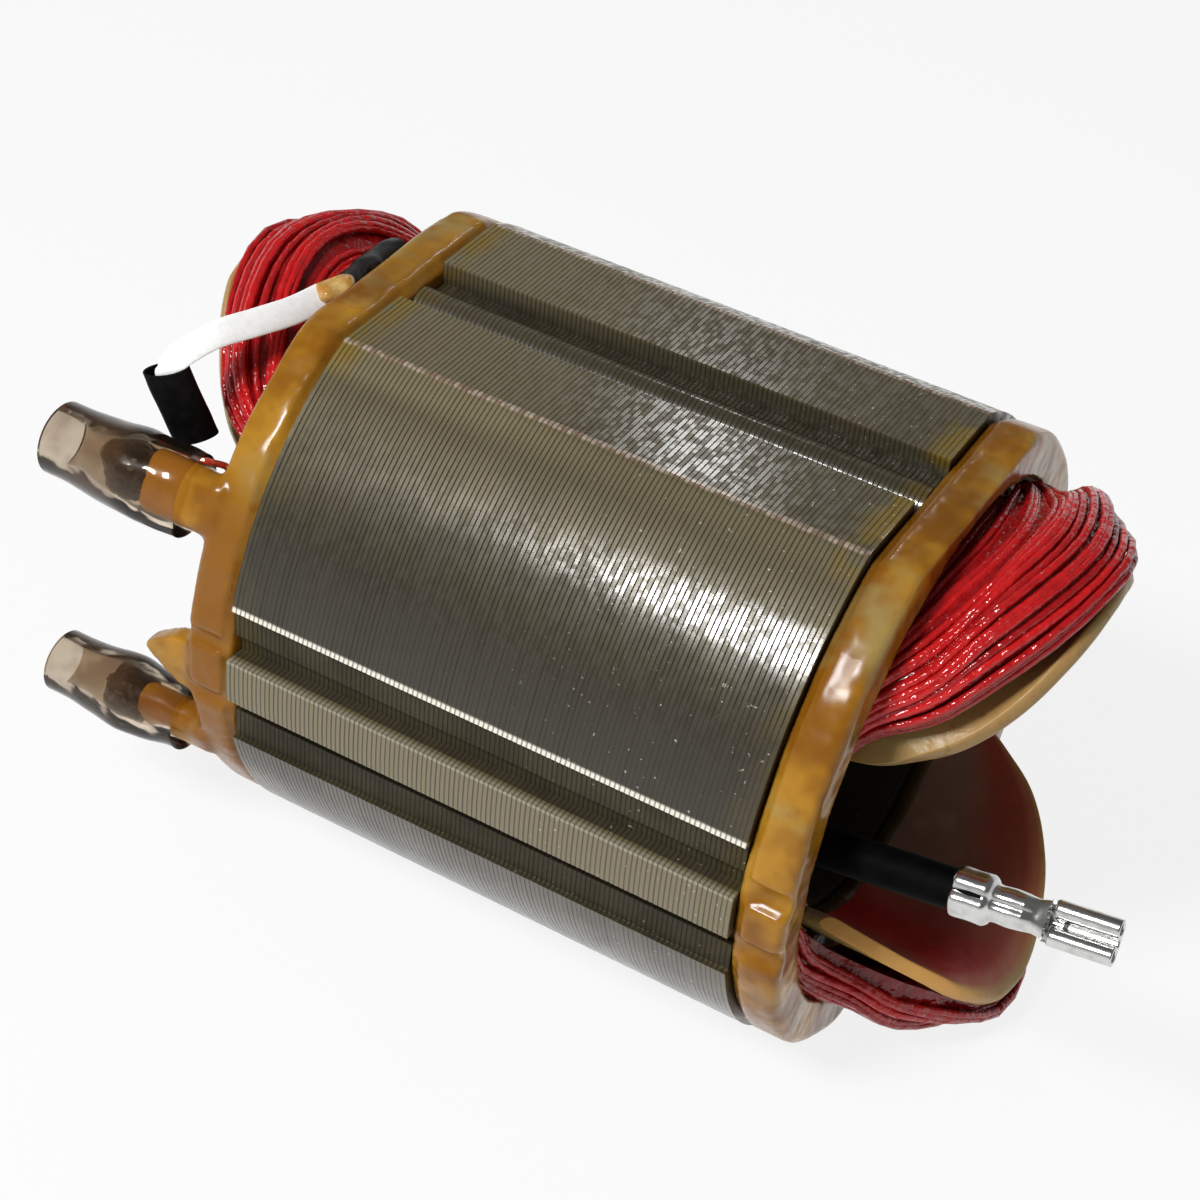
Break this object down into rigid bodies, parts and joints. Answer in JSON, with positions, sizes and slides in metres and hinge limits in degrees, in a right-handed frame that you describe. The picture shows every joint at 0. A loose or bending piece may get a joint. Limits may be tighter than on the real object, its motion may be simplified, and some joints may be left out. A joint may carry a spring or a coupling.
{
  "type": "motor stator",
  "caption": "Universal motor stator: a welded lamination stack with flats and a rotor bore, red saddle windings between amber end insulators, sleeved terminals and a crimped lead.",
  "frame": {"origin": "middle of the rotor bore, half way along the lamination stack", "axes": "+X along the rotor axis towards the drive end with the crimped lead, +Z along the pole axis, towards the flat that faces up in the picture"},
  "size_m": [0.108, 0.063, 0.0586],
  "materials": {
    "laminations": "varnished electrical steel with fine lamination lines",
    "drive_end_moulding": "amber moulding, varnished",
    "connection_end_moulding": "amber moulding, varnished",
    "upper_winding": "red enamelled wire, varnished",
    "lower_winding": "red enamelled wire, varnished",
    "slot_liner": "varnished insulating paper",
    "terminal_blade": "tinned brass",
    "solder": "dull solder and flux",
    "clear_sleeve": "clear sleeve, slightly brown",
    "tail_wire": "red enamelled wire",
    "dark_sleeving": "dark sleeving",
    "varnish": "set varnish",
    "white_sleeving": "white woven sleeving",
    "black_sleeving": "black sleeving",
    "lead_insulation": "black insulation",
    "conductor": "bare copper strands",
    "crimp": "bright tinned sheet"
  },
  "bodies": {
    "root": {"lamination_stack": "laminations", "drive_end_insulator": "drive_end_moulding", "connection_end_insulator": "connection_end_moulding", "upper_coil": "upper_winding", "lower_coil": "lower_winding", "upper_near_liner": "slot_liner", "upper_far_liner": "slot_liner", "lower_near_liner": "slot_liner", "lower_far_liner": "slot_liner", "upper_terminal": "terminal_blade", "lower_terminal": "terminal_blade", "upper_solder_joint": "solder", "lower_solder_joint": "solder", "upper_sleeve": "clear_sleeve", "lower_sleeve": "clear_sleeve", "upper_coil_tail": "tail_wire", "lower_coil_tail": "tail_wire", "tail_sleeving": "dark_sleeving", "varnish_bead": "varnish", "white_sleeving": "white_sleeving", "black_sleeving": "black_sleeving", "black_lead": "lead_insulation", "lead_conductor": "conductor", "crimp_terminal": "crimp"}
  },
  "joints": []
}
